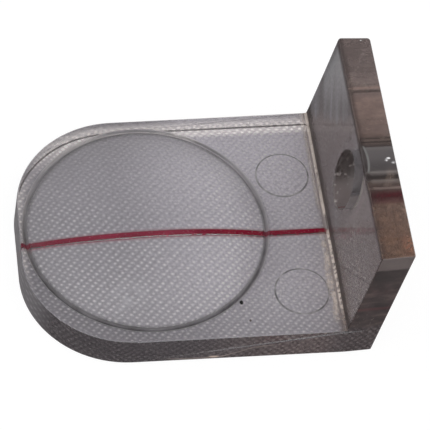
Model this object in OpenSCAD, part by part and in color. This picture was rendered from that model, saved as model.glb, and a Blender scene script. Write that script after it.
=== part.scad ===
// Clear moulded magnifying hairline cursor.
// A flat plate with a rounded tip carries a raised plano-convex lens.
// A colour-filled hairline runs along the underside, and an upright flange
// with one screw hole closes the square end.
//
// Frame: millimetres, +Z up. The origin is on the underside, directly below the
// centre of the lens. +X runs along the hairline towards the flange.

/* [Plate] */
// Width of the plate across the hairline, at its upper edge
plate_w = 28.2; // [27.2:0.1:34]
// Thickness of the plate
plate_t = 3.2; // [2.4:0.1:4.5]
// Distance from the lens centre to the rounded tip, at the upper edge
tip_x = 13.3; // [13.2:0.1:18]
// Radius of the two rounded corners at the tip
tip_r = 11.0; // [6:0.5:13]
// How much wider each side is at the underside than at the upper edge
side_draft = 0.1; // [0.02:0.01:0.3]

/* [Lens] */
// Diameter of the lens, measured to the inner edge of the fine groove's floor
lens_d = 25.4; // [18:0.2:25.4]
// Height of the dome above the plate
lens_sag = 2.8; // [1.5:0.1:4.5]
// Width of the fine groove round the lens
groove_w = 0.4; // [0.2:0.05:0.5]
// Depth of the fine groove round the lens
groove_d = 0.2; // [0.1:0.05:0.4]

/* [Flange] */
// Distance from the lens centre to the flange's inner face, at its root
flange_x = 19.1; // [18:0.1:26]
// Thickness of the flange at its root
flange_t = 3.6; // [2.5:0.1:5]
// Height of the flange above the underside
flange_h = 12.8; // [12.2:0.1:20]
// How far the inner face leans outwards between its root and its top
flange_draft = 0.35; // [0.05:0.05:0.8]
// How far each end of the flange leans inwards between the plate and the top
end_draft = 0.5; // [0.1:0.05:0.8]
// How far each end of the flange leans inwards across the flange's thickness
end_taper = 0.2; // [0.05:0.05:0.4]
// Radius of the inside fillet between the plate and the flange
root_r = 0.4; // [0.2:0.1:0.8]
// Diameter of the screw hole
hole_d = 5.3; // [3:0.1:5.8]
// Height of the screw hole's centre above the underside
hole_z = 8.4; // [8:0.1:8.6]

/* [Hairline] */
// Width of the colour-filled groove
line_w = 0.6; // [0.2:0.05:0.8]
// Depth of the colour-filled groove
line_d = 0.2; // [0.1:0.05:0.4]

/* [Underside marks] */
// Diameter of the two moulding pin marks
pin_d = 5.7; // [3:0.1:6.2]
// Distance from the lens centre to the pin marks, along the hairline
pin_x = 16.0; // [15.5:0.1:16.2]
// Distance from the hairline to the centre of each pin mark
pin_y = 7.5; // [5:0.1:9]
// Depth of the pin marks
pin_depth = 0.08; // [0.04:0.01:0.15]

/* [Hidden] */
$fn = 128;
lens_fn = 256;
fillet_fn = 64;
clear_color = [0.78, 0.79, 0.82, 0.6];
line_color = [0.55, 0.05, 0.13];

// Plate: outer end and the centres of the tip's corners
half_w = plate_w / 2;
end_x = flange_x + flange_t;
corner_x = tip_r - tip_x;
corner_y = half_w - tip_r;

// Groove round the lens: its inner slope, flat floor and outer slope fill its width
groove_slope_w = groove_w * 0.6;
groove_floor_w = groove_w * 0.25;

// Dome: a sphere through the lens's foot circle and its crown
lens_r = lens_d / 2;
foot_r = lens_r - groove_slope_w;
dome_r = (foot_r * foot_r + lens_sag * lens_sag) / (2 * lens_sag);
dome_z = plate_t + lens_sag - dome_r;

// Overlaps between joined parts, and how far cutters run past the surface
tip_lap = 0.01;
lens_sink = 0.5;
fillet_sink = 0.2;
cut_over = 1;
hole_over = 2;
groove_over = 0.5;

// Block that trims each flange end: its size and its corner before leaning
end_block = [40, 10, 60];
end_block_corner = [-10, 0, -20];

// Draws an XZ profile out along Y, centred on the hairline
module across(width) {
    translate([0, width / 2, 0]) rotate([90, 0, 0])
        linear_extrude(height = width) children();
}

// Plate with drafted sides and two rounded corners at the tip
module plate() {
    // long part, a trapezoid drawn out along X
    translate([corner_x, 0, 0]) rotate([90, 0, 90])
        linear_extrude(height = end_x - corner_x)
            polygon([
                [-half_w - side_draft, 0],
                [half_w + side_draft, 0],
                [half_w, plate_t],
                [-half_w, plate_t]
            ]);
    // flat of the tip between the two corners
    across(2 * corner_y)
        polygon([
            [-tip_x - side_draft, 0],
            [corner_x + tip_lap, 0],
            [corner_x + tip_lap, plate_t],
            [-tip_x, plate_t]
        ]);
    // rounded corners
    for (side = [-1, 1])
        translate([corner_x, side * corner_y, 0])
            cylinder(h = plate_t, r1 = tip_r + side_draft, r2 = tip_r);
}

// Plano-convex lens on the plate's upper face
module lens_dome() {
    intersection() {
        translate([0, 0, dome_z]) sphere(r = dome_r, $fn = lens_fn);
        translate([0, 0, plate_t - lens_sink])
            cylinder(r = foot_r, h = lens_sink + lens_sag + cut_over);
    }
}

// Fine groove round the lens: a gentle inner side and a steep outer side
module lens_groove() {
    floor_z = plate_t - groove_d;
    outer_r = foot_r + groove_w;
    rotate_extrude($fn = lens_fn)
        polygon([
            [foot_r, plate_t],
            [lens_r, floor_z],
            [lens_r + groove_floor_w, floor_z],
            [outer_r, plate_t],
            [outer_r, plate_t + groove_over],
            [foot_r, plate_t + groove_over]
        ]);
}

// Upright flange with a drafted inner face
module flange() {
    across(plate_w)
        polygon([
            [flange_x, 0],
            [end_x, 0],
            [end_x, flange_h],
            [flange_x + flange_draft, flange_h],
            [flange_x, plate_t]
        ]);
}

// Inside fillet where the flange rises from the plate
module root_fillet() {
    translate([flange_x, 0, plate_t]) across(plate_w)
        difference() {
            translate([-root_r, -fillet_sink])
                square([root_r + fillet_sink, root_r + fillet_sink]);
            translate([-root_r, root_r]) circle(r = root_r, $fn = fillet_fn);
        }
}

// What is cut away outside the +Y end face of the flange, which leans inwards
// with height and across the thickness
module end_cut() {
    lean_x = atan(end_taper / flange_t);
    lean_z = atan(end_draft / (flange_h - plate_t) * cos(lean_x));
    translate([flange_x, half_w, plate_t]) rotate([lean_z, 0, -lean_x])
        translate(end_block_corner) cube(end_block);
}

// Screw hole through the flange
module screw_hole() {
    translate([flange_x - hole_over, 0, hole_z]) rotate([0, 90, 0])
        cylinder(d = hole_d, h = flange_t + 2 * hole_over);
}

// Hairline groove, from the tip to the flange's outer face
module hairline_slot() {
    translate([-tip_x - cut_over, -line_w / 2, -cut_over])
        cube([tip_x + end_x + 2 * cut_over, line_w, cut_over + line_d]);
}

// Shallow round marks left by the mould's pins
module pin_marks() {
    for (side = [-1, 1])
        translate([pin_x, side * pin_y, -cut_over])
            cylinder(d = pin_d, h = cut_over + pin_depth);
}

// Clear moulding: plate, lens and flange in one piece
module cursor_body() {
    color(clear_color)
    difference() {
        union() {
            plate();
            lens_dome();
            flange();
            root_fillet();
        }
        lens_groove();
        end_cut();
        mirror([0, 1, 0]) end_cut();
        screw_hole();
        hairline_slot();
        pin_marks();
    }
}

// Colour that fills the hairline groove, ending flush with the plate
module hairline_fill() {
    color(line_color)
    intersection() {
        plate();
        hairline_slot();
    }
}

cursor_body();
hairline_fill();
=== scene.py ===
import math

import bmesh
import bpy
from mathutils import Matrix, Vector, noise


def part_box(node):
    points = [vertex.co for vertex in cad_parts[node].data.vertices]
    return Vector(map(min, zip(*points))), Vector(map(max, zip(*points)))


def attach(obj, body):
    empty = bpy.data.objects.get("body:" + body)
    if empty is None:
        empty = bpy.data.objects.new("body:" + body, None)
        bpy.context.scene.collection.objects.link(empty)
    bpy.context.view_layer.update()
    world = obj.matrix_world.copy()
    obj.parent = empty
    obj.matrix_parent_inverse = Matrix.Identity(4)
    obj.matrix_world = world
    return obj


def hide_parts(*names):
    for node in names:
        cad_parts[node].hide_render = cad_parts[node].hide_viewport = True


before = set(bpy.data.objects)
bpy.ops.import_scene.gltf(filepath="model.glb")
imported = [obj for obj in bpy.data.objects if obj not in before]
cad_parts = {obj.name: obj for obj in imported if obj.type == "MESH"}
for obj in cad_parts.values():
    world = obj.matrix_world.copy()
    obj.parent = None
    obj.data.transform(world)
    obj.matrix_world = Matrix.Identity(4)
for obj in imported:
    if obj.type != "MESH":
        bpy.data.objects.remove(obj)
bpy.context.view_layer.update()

MM = 0.001

# ---------------------------------------------------------------- sizes (mm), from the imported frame
lo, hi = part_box("cursor_body")
lo, hi = [v * 1000 for v in lo], [v * 1000 for v in hi]
DRAFT = 0.1                      # side draft at the underside
TIP = -lo[0] - DRAFT             # lens centre to the tip, upper edge
END = hi[0]                      # outer face of the flange
HW = hi[1] - DRAFT               # half width, upper edge
H = hi[2]                        # flange height
T = 3.2                          # plate thickness
FX = END - 3.6                   # flange inner face at its root
FDRAFT = 0.35
END_DRAFT, END_TAPER = 0.5, 0.2   # lean of the flange's two ends, with height and across its thickness
ROOT_R = 0.4
TIP_R = 11.0
LENS_R, SAG = 12.7, 2.8          # middle of the fine groove; dome height above the plate
GROOVE_W, GROOVE_D = 0.4, 0.2
HOLE_R, HOLE_Z = 2.65, 8.4
LINE_W, LINE_D = 0.6, 0.2
PIN_R, PIN_X, PIN_Y, PIN_D = 2.85, 16.0, 7.5, 0.08
CX, CY = TIP_R - TIP, HW - TIP_R


# ---------------------------------------------------------------- mesh helpers (all in mm)
def new_object(name, bm):
    me = bpy.data.meshes.new(name)
    bm.normal_update()
    bm.to_mesh(me)
    bm.free()
    ob = bpy.data.objects.new(name, me)
    bpy.context.scene.collection.objects.link(ob)
    return ob


def loft(rings, cap=True):
    """Closed solid through rings of equal length."""
    bm = bmesh.new()
    vs = [[bm.verts.new(p) for p in r] for r in rings]
    n = len(rings[0])
    for a, b in zip(vs[:-1], vs[1:]):
        for i in range(n):
            j = (i + 1) % n
            bm.faces.new((a[i], a[j], b[j], b[i]))
    if cap:
        bm.faces.new(list(reversed(vs[0])))
        bm.faces.new(vs[-1])
    bmesh.ops.recalc_face_normals(bm, faces=bm.faces)
    return bm


def lathe(profile, seg, place):
    """Solid of revolution. profile: (r, h) from axis to axis; place maps (x, y, h) to the part frame."""
    bm = bmesh.new()
    rings = []
    closed = profile[0] == profile[-1] and profile[0][0] > 0
    if closed:
        profile = profile[:-1]
    for r, h in profile:
        if r < 1e-9:
            rings.append([bm.verts.new(place(0, 0, h))])
        else:
            rings.append([bm.verts.new(place(r * math.cos(2 * math.pi * k / seg), r * math.sin(2 * math.pi * k / seg), h)) for k in range(seg)])
    pairs = list(zip(rings[:-1], rings[1:])) + ([(rings[-1], rings[0])] if closed else [])
    for a, b in pairs:
        for i in range(seg):
            j = (i + 1) % seg
            if len(a) == 1 and len(b) > 1:
                bm.faces.new((a[0], b[j], b[i]))
            elif len(b) == 1 and len(a) > 1:
                bm.faces.new((a[i], a[j], b[0]))
            elif len(a) > 1:
                bm.faces.new((a[i], a[j], b[j], b[i]))
    bmesh.ops.recalc_face_normals(bm, faces=bm.faces)
    return bm


def boolean(ob, other, op):
    m = ob.modifiers.new("b", "BOOLEAN")
    m.operation = op
    m.solver = "EXACT"
    m.object = other
    dg = bpy.context.evaluated_depsgraph_get()
    me = bpy.data.meshes.new_from_object(ob.evaluated_get(dg))
    ob.modifiers.clear()
    old = ob.data
    ob.data = me
    bpy.data.meshes.remove(old)
    bpy.data.objects.remove(other)
    return ob


def arc(cx, cy, r, a0, a1, n):
    return [(cx + r * math.cos(math.radians(a0 + (a1 - a0) * k / n)), cy + r * math.sin(math.radians(a0 + (a1 - a0) * k / n))) for k in range(n + 1)]


# ---------------------------------------------------------------- body
def plan(z):
    d = DRAFT * max(0.0, (T - z) / T)
    pts = [(END + 4, -HW - d)]
    far = arc(CX, CY, TIP_R + d, 90, 180, 56)
    near = arc(CX, -CY, TIP_R + d, 180, 270, 56)
    ring = [(END + 4, HW + d)] + far + near + pts
    return [(x, y, z) for x, y in ring]


def build_body():
    # side outline of the L, drawn out across the width
    top = FX + FDRAFT
    prof = [(-TIP - 4, -0.0), (END, 0.0), (END, H), (top, H)]
    lean = math.degrees(math.atan2(FDRAFT, H - T))
    prof += [(x, z) for x, z in arc(FX - ROOT_R * math.cos(math.radians(lean)) + 0.014, T + ROOT_R, ROOT_R, -lean, -90, 10)]
    prof += [(-TIP - 4, T)]
    ell = loft([[(x, y, z) for x, z in prof] for y in (-HW - 3, HW + 3)])
    body = new_object("body_work", ell)
    cutter = new_object("plan_work", loft([plan(-1.0), plan(T), plan(H + 2)]))
    boolean(body, cutter, "INTERSECT")

    # the flange's ends lean in with height and across the thickness
    def end_y(x, z):
        return HW + 0.004 - END_DRAFT / (H - T) * (z - T) - END_TAPER / (END - FX) * (x - FX + ROOT_R)
    for s in (-1, 1):
        rings = [[(x, s * end_y(x, z), z), (x2, s * end_y(x2, z), z), (x2, s * (HW + 6), z), (x, s * (HW + 6), z)] for z in (-3.0, H + 5) for x, x2 in ((FX - 3, END + 5),)]
        boolean(body, new_object("end_work", loft(rings)), "DIFFERENCE")

    bm = bmesh.new()
    bm.from_mesh(body.data)
    bmesh.ops.remove_doubles(bm, verts=bm.verts, dist=1e-4)
    bmesh.ops.dissolve_limit(bm, angle_limit=math.radians(0.05), verts=bm.verts, edges=bm.edges)
    # every outer edge is softly broken, as a moulded part's is
    bm.normal_update()
    upright = [e for e in bm.edges if all(v.co.y > HW - 3 for v in e.verts) and abs(e.verts[0].co.z - e.verts[1].co.z) > 5]
    bmesh.ops.bevel(bm, geom=upright, offset=0.34, segments=6, profile=0.5, affect="EDGES", clamp_overlap=False)
    bm.normal_update()
    edges = [e for e in bm.edges if len(e.link_faces) == 2 and e.calc_face_angle(0) > math.radians(30)]
    bmesh.ops.bevel(bm, geom=edges, offset=0.18, segments=4, profile=0.5, affect="EDGES", clamp_overlap=False)
    bmesh.ops.recalc_face_normals(bm, faces=bm.faces)
    bm.to_mesh(body.data)
    bm.free()

    # fine groove round the lens: soft lips, a gentle inner side and a steep outer side
    foot = LENS_R - GROOVE_W * 0.6
    w, d = GROOVE_W, GROOVE_D
    prof = [(foot - 0.3, T + 0.6), (foot - 0.3, T - 0.05), (foot, T - 0.055), (foot + w * 0.25, T - d * 0.62), (foot + w * 0.45, T - d * 0.92), (foot + w * 0.58, T - d),
            (foot + w * 0.72, T - d * 0.93), (foot + w * 0.86, T - d * 0.70), (foot + w * 1.0, T - d * 0.40), (foot + w * 1.14, T - d * 0.16), (foot + w * 1.28, T - d * 0.03), (foot + w * 1.45, T + 0.012), (foot + w * 1.45, T + 0.6)]
    boolean(body, new_object("groove_ring", lathe(prof + [prof[0]], 288, lambda x, y, h: (x, y, h))), "DIFFERENCE")
    # crowned dome
    rho = (foot ** 2 + SAG ** 2) / (2 * SAG)
    n = 84
    a_max = math.asin(foot / rho)
    dome = [(rho * math.sin(a_max * (1 - k / n)), T + SAG - rho + rho * math.cos(a_max * (1 - k / n))) for k in range(n + 1)]
    dome[-1] = (0.0, T + SAG)
    a_out = a_max * 1.0
    prof = [(0.0, T - 1.0), (foot - 0.02, T - 1.0), (foot + 0.03, T - 0.07), (foot + 0.015, T - 0.02)] + dome
    boolean(body, new_object("lens_work", lathe(prof, 288, lambda x, y, h: (x, y, h))), "UNION")

    # screw hole with softly broken lips; the inner face leans, so each end is placed on its own face
    xin = FX + FDRAFT * (HOLE_Z - T) / (H - T)
    slope = FDRAFT / (H - T)
    lip = 0.14
    prof = [(0, -3), (HOLE_R + lip + 1.0, -3), (HOLE_R + lip + 1.0, -1.0), (HOLE_R + lip, 0.0)]
    prof = [(0, -3), (HOLE_R + lip, -3), (HOLE_R + lip, 0.0), (HOLE_R + lip * 0.45, lip * 0.3), (HOLE_R + lip * 0.12, lip * 0.65), (HOLE_R, lip)]
    span = END - xin
    prof += [(HOLE_R, span - lip), (HOLE_R + lip * 0.12, span - lip * 0.65), (HOLE_R + lip * 0.45, span - lip * 0.3), (HOLE_R + lip, span), (HOLE_R + lip, span + 3), (0, span + 3)]

    def hole_place(x, y, h):
        z = HOLE_Z + x
        lean = slope * x * max(0.0, min(1.0, 1 - h / span)) if h < span else 0.0
        return (xin + h + lean, y, z)
    boolean(body, new_object("hole_work", lathe(prof, 96, hole_place)), "DIFFERENCE")

    # groove for the hairline: a shallow trough with slightly leaning sides
    x0, x1 = -TIP - 2, END + 2
    w0, w1 = LINE_W / 2, LINE_W / 2 - 0.03
    sec = [(-w0 - 0.02, -0.5), (-w0, 0.0), (-w1, LINE_D - 0.03), (-w1 + 0.04, LINE_D), (w1 - 0.04, LINE_D), (w1, LINE_D - 0.03), (w0, 0.0), (w0 + 0.02, -0.5)]
    boolean(body, new_object("groove_work", loft([[(x, y, z) for y, z in sec] for x in (x0, x1)])), "DIFFERENCE")

    # witness marks of the two mould pins
    for s in (-1, 1):
        prof = [(0, -1), (PIN_R + 0.1, -1), (PIN_R + 0.05, 0.0), (PIN_R - 0.05, PIN_D * 0.85), (PIN_R - 0.12, PIN_D), (0, PIN_D)]
        boolean(body, new_object("pin_work", lathe(prof, 128, lambda x, y, h, s=s: (PIN_X + x, s * PIN_Y + y, h))), "DIFFERENCE")
    return body


def finish_mesh(ob, name, sharp=35):
    bm = bmesh.new()
    bm.from_mesh(ob.data)
    bmesh.ops.remove_doubles(bm, verts=bm.verts, dist=2e-5)
    bmesh.ops.dissolve_degenerate(bm, dist=1e-5, edges=bm.edges)
    bmesh.ops.recalc_face_normals(bm, faces=bm.faces)
    for f in bm.faces:
        f.smooth = True
    for e in bm.edges:
        e.smooth = not (len(e.link_faces) == 2 and e.calc_face_angle(0) > math.radians(sharp))
    bm.transform(Matrix.Scale(MM, 4))
    bm.to_mesh(ob.data)
    bm.free()
    ob.name = name
    ob.data.name = name
    m = ob.modifiers.new("w", "WEIGHTED_NORMAL")
    m.mode = "FACE_AREA"
    m.weight = 100
    m.keep_sharp = True
    dg = bpy.context.evaluated_depsgraph_get()
    me = bpy.data.meshes.new_from_object(ob.evaluated_get(dg))
    ob.modifiers.clear()
    old = ob.data
    ob.data = me
    bpy.data.meshes.remove(old)
    me.name = name
    return ob


# ---------------------------------------------------------------- hairline paint
def build_line():
    """Paint in the groove: its edges wander a few hundredths of a millimetre, as wiped-in paint does."""
    n = 420
    rings = []
    x0, x1 = -TIP - 0.06, END - 0.02
    for k in range(n + 1):
        x = x0 + (x1 - x0) * k / n
        a = 0.040 + noise.noise(Vector((x * 2.3, 1.7, 0.0))) * 0.040 + noise.noise(Vector((x * 7.1, 9.2, 0.0))) * 0.035
        b = -0.040 + noise.noise(Vector((x * 2.1, 5.3, 3.0))) * 0.040 + noise.noise(Vector((x * 6.7, 2.9, 4.0))) * 0.035
        d = noise.noise(Vector((x * 1.3, 0.4, 8.0))) * 0.006
        w0, w1 = LINE_W / 2, LINE_W / 2 - 0.03
        g = 0.012
        rings.append([(x, -w0 - g + a * 0.4, 0.004), (x, -w1 - g + a, LINE_D - 0.03), (x, -w1 + 0.04, LINE_D + g + d), (x, 0, LINE_D + g + d),
                      (x, w1 - 0.04, LINE_D + g + d), (x, w1 + g + b, LINE_D - 0.03), (x, w0 + g + b * 0.4, 0.004), (x, 0.0, 0.012)])
    return new_object("line_work", loft(rings))


body = finish_mesh(build_body(), "cursor_body_visual")
line = finish_mesh(build_line(), "hairline_paint", 50)


# ---------------------------------------------------------------- materials
def nodes_of(name):
    mat = bpy.data.materials.new(name)
    mat.use_nodes = True
    nt = mat.node_tree
    nt.nodes.clear()
    return mat, nt


class N:
    def __init__(self, nt):
        self.nt = nt

    def __call__(self, kind, inputs=None, **props):
        n = self.nt.nodes.new(kind)
        for k, v in props.items():
            setattr(n, k, v)
        for k, v in (inputs or {}).items():
            if isinstance(v, bpy.types.NodeSocket):
                self.nt.links.new(v, n.inputs[k])
            else:
                n.inputs[k].default_value = v
        return n

    def math(self, op, a, b=0.0, c=0.0, clamp=False):
        n = self.nt.nodes.new("ShaderNodeMath")
        n.operation = op
        n.use_clamp = clamp
        for i, v in enumerate((a, b, c)):
            if isinstance(v, bpy.types.NodeSocket):
                self.nt.links.new(v, n.inputs[i])
            else:
                n.inputs[i].default_value = v
        return n.outputs[0]

    def vmath(self, op, a, b=None):
        n = self.nt.nodes.new("ShaderNodeVectorMath")
        n.operation = op
        for i, v in enumerate((a, b)):
            if v is None:
                continue
            if isinstance(v, bpy.types.NodeSocket):
                self.nt.links.new(v, n.inputs[i])
            else:
                n.inputs[i].default_value = v
        return n.outputs["Value"] if op == "DOT_PRODUCT" else n.outputs[0]

    def ramp(self, fac, stops, interp="LINEAR"):
        n = self.nt.nodes.new("ShaderNodeValToRGB")
        n.color_ramp.interpolation = interp
        els = n.color_ramp.elements
        while len(els) < len(stops):
            els.new(0.5)
        for e, (p, c) in zip(els, stops):
            e.position = p
            e.color = c if len(c) == 4 else (*c, 1)
        self.nt.links.new(fac, n.inputs[0])
        return n.outputs[0]

    def mix(self, fac, a, b):
        n = self.nt.nodes.new("ShaderNodeMix")
        n.data_type = "RGBA"
        for i, v in ((0, fac), (6, a), (7, b)):
            if isinstance(v, bpy.types.NodeSocket):
                self.nt.links.new(v, n.inputs[i])
            else:
                n.inputs[i].default_value = v if i == 0 or len(v) == 4 else (*v, 1)
        return n.outputs[2]


def lattice(n, co, k1, k2, wobble=0.00022, sharp=1.15):
    """Fine diagonal lattice of soft dots, each a little out of place."""
    warp = n("ShaderNodeTexNoise", {"Vector": co, "Scale": 260.0, "Detail": 3.0}).outputs["Color"]
    w = n.vmath("SCALE", n.vmath("SUBTRACT", warp, (0.5, 0.5, 0.5)))
    w.node.inputs["Scale"].default_value = wobble
    p = n.vmath("ADD", co, w)
    a = n.math("COSINE", n.math("MULTIPLY", n.vmath("DOT_PRODUCT", p, k1), 2 * math.pi))
    b = n.math("COSINE", n.math("MULTIPLY", n.vmath("DOT_PRODUCT", p, k2), 2 * math.pi))
    prod = n.math("MULTIPLY", n.math("ADD", a, 1.0), n.math("ADD", n.math("MULTIPLY", b, 0.72), 1.0))
    return n.math("POWER", n.math("MULTIPLY", prod, 0.29), sharp)


def smooth(n, v, v0, v1, t0=0.0, t1=1.0):
    return n("ShaderNodeMapRange", {"Value": v, "From Min": v0, "From Max": v1, "To Min": t0, "To Max": t1}, interpolation_type="SMOOTHSTEP").outputs[0]


def moulded(name, rough0, bump_k):
    """Common ground of the clear surfaces: flow lines, orange peel, a few hairline scratches."""
    mat, nt = nodes_of(name)
    n = N(nt)
    co = n("ShaderNodeTexCoord").outputs["Object"]
    big = n("ShaderNodeTexNoise", {"Vector": co, "Scale": 160.0, "Detail": 3.0, "Roughness": 0.5}).outputs["Fac"]
    flow = n("ShaderNodeTexNoise", {"Vector": n("ShaderNodeMapping", {"Vector": co, "Scale": (60.0, 420.0, 420.0)}).outputs[0], "Scale": 1.0, "Detail": 4.0}).outputs["Fac"]
    fine = n("ShaderNodeTexNoise", {"Vector": co, "Scale": 5200.0, "Detail": 2.0}).outputs["Fac"]
    scratch = n("ShaderNodeTexWave", {"Vector": n("ShaderNodeMapping", {"Vector": co, "Rotation": (0.0, 0.0, 0.6), "Scale": (900.0, 90.0, 400.0)}).outputs[0], "Scale": 1.0, "Distortion": 18.0, "Detail": 3.0}).outputs["Fac"]
    scr = n.math("POWER", scratch, 30.0)
    rough = n.math("ADD", n.math("MULTIPLY", n.math("SUBTRACT", big, 0.45, clamp=True), 0.06), n.math("MULTIPLY", scr, 0.05))
    rough = n.math("ADD", rough, rough0)
    h = n.math("ADD", n.math("MULTIPLY", big, 0.5), n.math("MULTIPLY", flow, 0.25))
    h = n.math("ADD", h, n.math("MULTIPLY", fine, 0.012))
    bump = n("ShaderNodeBump", {"Height": h, "Strength": bump_k, "Distance": 0.00002}).outputs[0]
    sep = n("ShaderNodeSeparateXYZ", {"Vector": co})
    return mat, n, co, sep.outputs["X"], sep.outputs["Y"], sep.outputs["Z"], flow, rough, bump


def finish_plastic(n, tint, rough, bump, share=None, haze_and_painted_light=None, haze_rough=0.5):
    """Clear acrylic of one tint; share mixes in a matt layer of the haze colour, which carries painted light and shade
    as well as real haze.
    """
    bsdf = n("ShaderNodeBsdfPrincipled", {"Base Color": tint, "Roughness": rough, "IOR": 1.49, "Transmission Weight": 1.0, "Normal": bump}).outputs[0]
    if share is not None:
        sat = n("ShaderNodeBsdfPrincipled", {"Base Color": haze_and_painted_light, "Roughness": haze_rough, "Normal": bump}).outputs[0]
        bsdf = n("ShaderNodeMixShader", {0: share, 1: bsdf, 2: sat}).outputs[0]
    n("ShaderNodeOutputMaterial", {"Surface": bsdf})


def top_faces(name, rough0, bump_k, ring_k):
    """Polished upper face: clear, with a painted soft dark ring of shade round the lens, where the groove sits."""
    mat, n, co, px, py, pz, flow, rough, bump = moulded(name, rough0, bump_k)
    r = n("ShaderNodeVectorMath", {0: n("ShaderNodeCombineXYZ", {"X": px, "Y": py}).outputs[0]}, operation="LENGTH").outputs["Value"]
    # painted shade: a soft dark ring round the lens standing in for the groove's shading, lighter on the far side than
    # the near side
    off = n.math("ABSOLUTE", n.math("SUBTRACT", r, smooth(n, py, 0.000, 0.009, (LENS_R - 0.02) * MM, (LENS_R - 0.36) * MM)))
    ring = n.math("POWER", smooth(n, off, 0.0, smooth(n, py, -0.002, 0.009, 0.00058, 0.00090), 1.0, 0.0), 1.4)
    ring = n.math("MULTIPLY", ring, smooth(n, py, -0.008, 0.008, 1.42, 0.92))
    uneven = n("ShaderNodeTexNoise", {"Vector": co, "Scale": 420.0, "Detail": 3.0}).outputs["Fac"]
    share = n.math("MULTIPLY", n.math("MULTIPLY", ring, ring_k), n.math("ADD", uneven, 0.5), clamp=True)
    tone = n.mix(n.math("MULTIPLY", flow, 0.5), (0.97, 0.965, 0.965, 1), (0.92, 0.915, 0.915, 1))
    side = smooth(n, py, -0.004, 0.006)
    col = n.mix(uneven, n.mix(side, (0.045, 0.042, 0.044), (0.070, 0.066, 0.066)), n.mix(side, (0.085, 0.080, 0.083), (0.130, 0.124, 0.122)))
    # maroon where the hairline shows through the groove, from about the photo's direction only
    span = n.math("ABSOLUTE", n.math("SUBTRACT", py, smooth(n, px, -0.010, 0.010, -0.00162, -0.00144)))
    cross = n.math("MULTIPLY", smooth(n, span, 0.00022, 0.00036, 1.0, 0.0), smooth(n, n.math("ABSOLUTE", n.math("SUBTRACT", r, LENS_R * MM)), 0.00030, 0.00050, 1.0, 0.0))
    cross = n.math("MULTIPLY", cross, smooth(n, n.vmath("DOT_PRODUCT", n("ShaderNodeNewGeometry").outputs["Incoming"], (-0.195, -0.646, 0.738)), 0.95, 0.98))
    share = n.math("ADD", n.math("MULTIPLY", share, n.math("SUBTRACT", 1.0, cross)), n.math("MULTIPLY", cross, 0.90))
    col = n.mix(cross, col, (0.15, 0.004, 0.020))
    # painted highlight: a pale tan, ragged band of matt satin just before the fillet, widest in the near half
    chop = n("ShaderNodeTexNoise", {"Vector": n("ShaderNodeMapping", {"Vector": co, "Scale": (2300.0, 1300.0, 1300.0)}).outputs[0], "Scale": 1.0, "Detail": 4.0, "Roughness": 0.65}).outputs["Fac"]
    edge = n.math("ADD", px, n.math("MULTIPLY", n.math("SUBTRACT", uneven, 0.5), 0.0012))
    near = n.math("MULTIPLY", smooth(n, edge, 0.01780, 0.01845), n.math("MULTIPLY", smooth(n, py, -0.0132, -0.0118), smooth(n, py, -0.0034, -0.0012, 1.0, 0.0)))
    far = n.math("MULTIPLY", smooth(n, px, 0.01820, 0.01868, 0.0, 0.42), smooth(n, py, 0.0008, 0.0020))
    band = n.math("ADD", n.math("MULTIPLY", near, smooth(n, chop, 0.34, 0.58, 0.15, 0.88)), far, clamp=True)
    share = n.math("MAXIMUM", share, band)
    col = n.mix(smooth(n, px, 0.0174, 0.0179), col, n.mix(chop, (0.34, 0.285, 0.25), (0.86, 0.76, 0.68)))
    finish_plastic(n, tone, rough, bump, share, col, 0.6)
    return mat


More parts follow.
